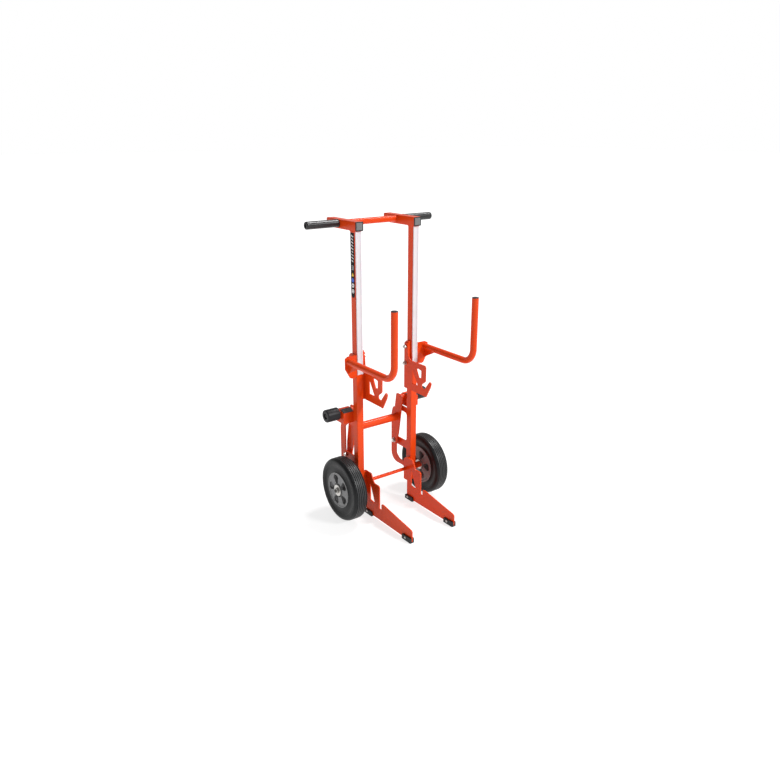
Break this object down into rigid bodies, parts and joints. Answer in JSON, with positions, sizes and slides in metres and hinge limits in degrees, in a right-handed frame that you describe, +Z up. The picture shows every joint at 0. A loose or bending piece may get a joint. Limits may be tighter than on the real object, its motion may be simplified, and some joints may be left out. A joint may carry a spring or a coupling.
{
  "type": "drywall lift",
  "caption": "Two-post drywall lift on rubber-tyred wheels, with slotted forks, hook plates, J arms, a handlebar with grips and a swing-back prop frame with rubber rollers",
  "frame": {"origin": "on the floor under the pads, midway between the two posts, in the posts' own centre plane", "axes": "+Z up; the forks and arms point to -Y; +X is the right-hand side seen from the front, across the two posts"},
  "size_m": [0.675, 0.577, 1.3907],
  "materials": {
    "orange_paint": "orange-red powder coat, satin, on steel",
    "pad_rubber": "moulded black rubber",
    "grip_rubber": "soft matte black grip",
    "roller_rubber": "solid black rubber roller",
    "tread_rubber": "dark grey ribbed anti-slip tread",
    "tyre_rubber": "solid black ribbed tyre",
    "rim_plastic": "grey moulded plastic",
    "cap_plastic": "dark grey plastic plug",
    "strip_plastic": "white low-friction plastic strip",
    "label_film": "black film plate with plain coloured shapes",
    "bush_steel": "plain steel bush",
    "zinc_steel": "bright zinc-plated steel"
  },
  "bodies": {
    "frame": {"post_left": "orange_paint", "post_right": "orange_paint", "top_tube_left": "orange_paint", "top_tube_right": "orange_paint", "tube_end_caps": "cap_plastic", "handlebar_tube": "orange_paint", "grip_left": "grip_rubber", "grip_right": "grip_rubber", "glide_strip_left": "strip_plastic", "glide_strip_right": "strip_plastic", "label_plate": "label_film", "fork_plate_left": "orange_paint", "fork_plate_right": "orange_paint", "fork_spacers": "orange_paint", "pad_front_left": "pad_rubber", "pad_front_right": "pad_rubber", "pad_rear_left": "pad_rubber", "pad_rear_right": "pad_rubber", "pad_bolts": "zinc_steel", "hook_plate_left": "orange_paint", "hook_plate_right": "orange_paint", "hook_spacer_left": "orange_paint", "hook_spacer_right": "orange_paint", "arm_bracket_left": "orange_paint", "arm_bracket_right": "orange_paint", "arm_gussets": "orange_paint", "arm_left": "orange_paint", "arm_right": "orange_paint", "arm_caps": "cap_plastic", "clamp_bolts": "zinc_steel", "rear_bracket_left": "orange_paint", "rear_bracket_right": "orange_paint", "pivot_bolts": "zinc_steel", "axle": "orange_paint", "axle_bosses": "orange_paint", "axle_nuts": "zinc_steel"},
    "wheel_left": {"tyre_left": "tyre_rubber", "rim_left": "rim_plastic", "hub_bush_left": "bush_steel"},
    "wheel_right": {"tyre_right": "tyre_rubber", "rim_right": "rim_plastic", "hub_bush_right": "bush_steel"},
    "prop_frame": {"prop_lever_left": "orange_paint", "prop_lever_right": "orange_paint", "prop_cross_tube": "orange_paint", "prop_shaft_left": "orange_paint", "prop_shaft_right": "orange_paint", "shaft_collars": "orange_paint", "step_block_left": "orange_paint", "step_block_right": "orange_paint", "step_treads": "tread_rubber", "roller_retainers": "zinc_steel"},
    "roller_left": {"roller_left": "roller_rubber"},
    "roller_right": {"roller_right": "roller_rubber"}
  },
  "joints": [
    {"name": "wheel_spin_left", "type": "hinge", "parent": "frame", "child": "wheel_left", "pos_m": [-0.241, 0, 0.158], "axis": [1, 0, 0], "continuous": true},
    {"name": "wheel_spin_right", "type": "hinge", "parent": "frame", "child": "wheel_right", "pos_m": [0.241, 0, 0.158], "axis": [1, 0, 0], "continuous": true},
    {"name": "prop_swing", "type": "hinge", "parent": "frame", "child": "prop_frame", "pos_m": [0, 0.112, 0.271], "axis": [-1, 0, 0], "range_deg": [0, 100]},
    {"name": "roller_spin_left", "type": "hinge", "parent": "prop_frame", "child": "roller_left", "pos_m": [-0.257, 0.072, 0.51], "axis": [1, 0, 0], "continuous": true},
    {"name": "roller_spin_right", "type": "hinge", "parent": "prop_frame", "child": "roller_right", "pos_m": [0.257, 0.072, 0.51], "axis": [1, 0, 0], "continuous": true}
  ]
}
